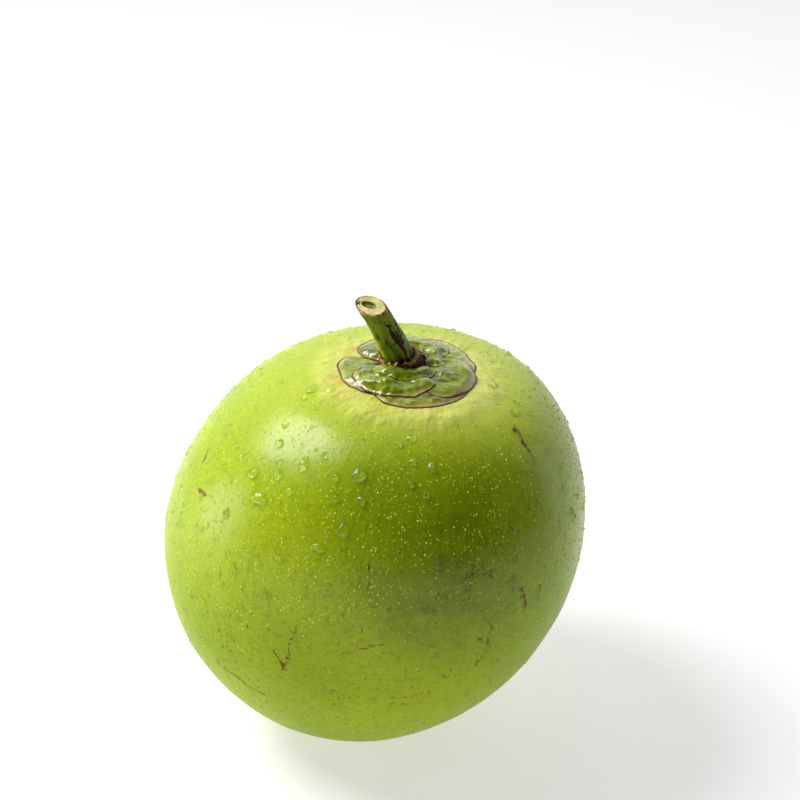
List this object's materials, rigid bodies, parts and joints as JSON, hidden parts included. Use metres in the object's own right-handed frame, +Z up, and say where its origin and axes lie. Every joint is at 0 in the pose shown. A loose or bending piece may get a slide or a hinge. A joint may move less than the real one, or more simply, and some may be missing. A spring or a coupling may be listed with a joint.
{
  "type": "green coconut",
  "caption": "Whole young green coconut with a smooth rounded husk, a cap of overlapping scales and a short slanting cut stalk, resting on a small flat spot.",
  "frame": {"origin": "middle of the small flat spot that the fruit rests on", "axes": "+Z up, away from the surface it rests on; the top of the fruit leans a little towards +X and the stalk slants towards -X and a little towards -Y, the front"},
  "size_m": [0.1786, 0.1761, 0.2052],
  "materials": {
    "husk_skin": "satin",
    "leaf_scale": "gloss",
    "dry_collar": "matte",
    "green_stalk": "satin"
  },
  "bodies": {
    "root": {"husk": "husk_skin", "inner_tepal_front": "leaf_scale", "inner_tepal_right": "leaf_scale", "inner_tepal_left": "leaf_scale", "outer_tepal_back": "leaf_scale", "outer_tepal_right": "leaf_scale", "outer_tepal_front": "leaf_scale", "bracteole_back": "leaf_scale", "bracteole_front": "leaf_scale", "receptacle": "dry_collar", "stalk_collar": "dry_collar", "stalk": "green_stalk"}
  },
  "joints": []
}
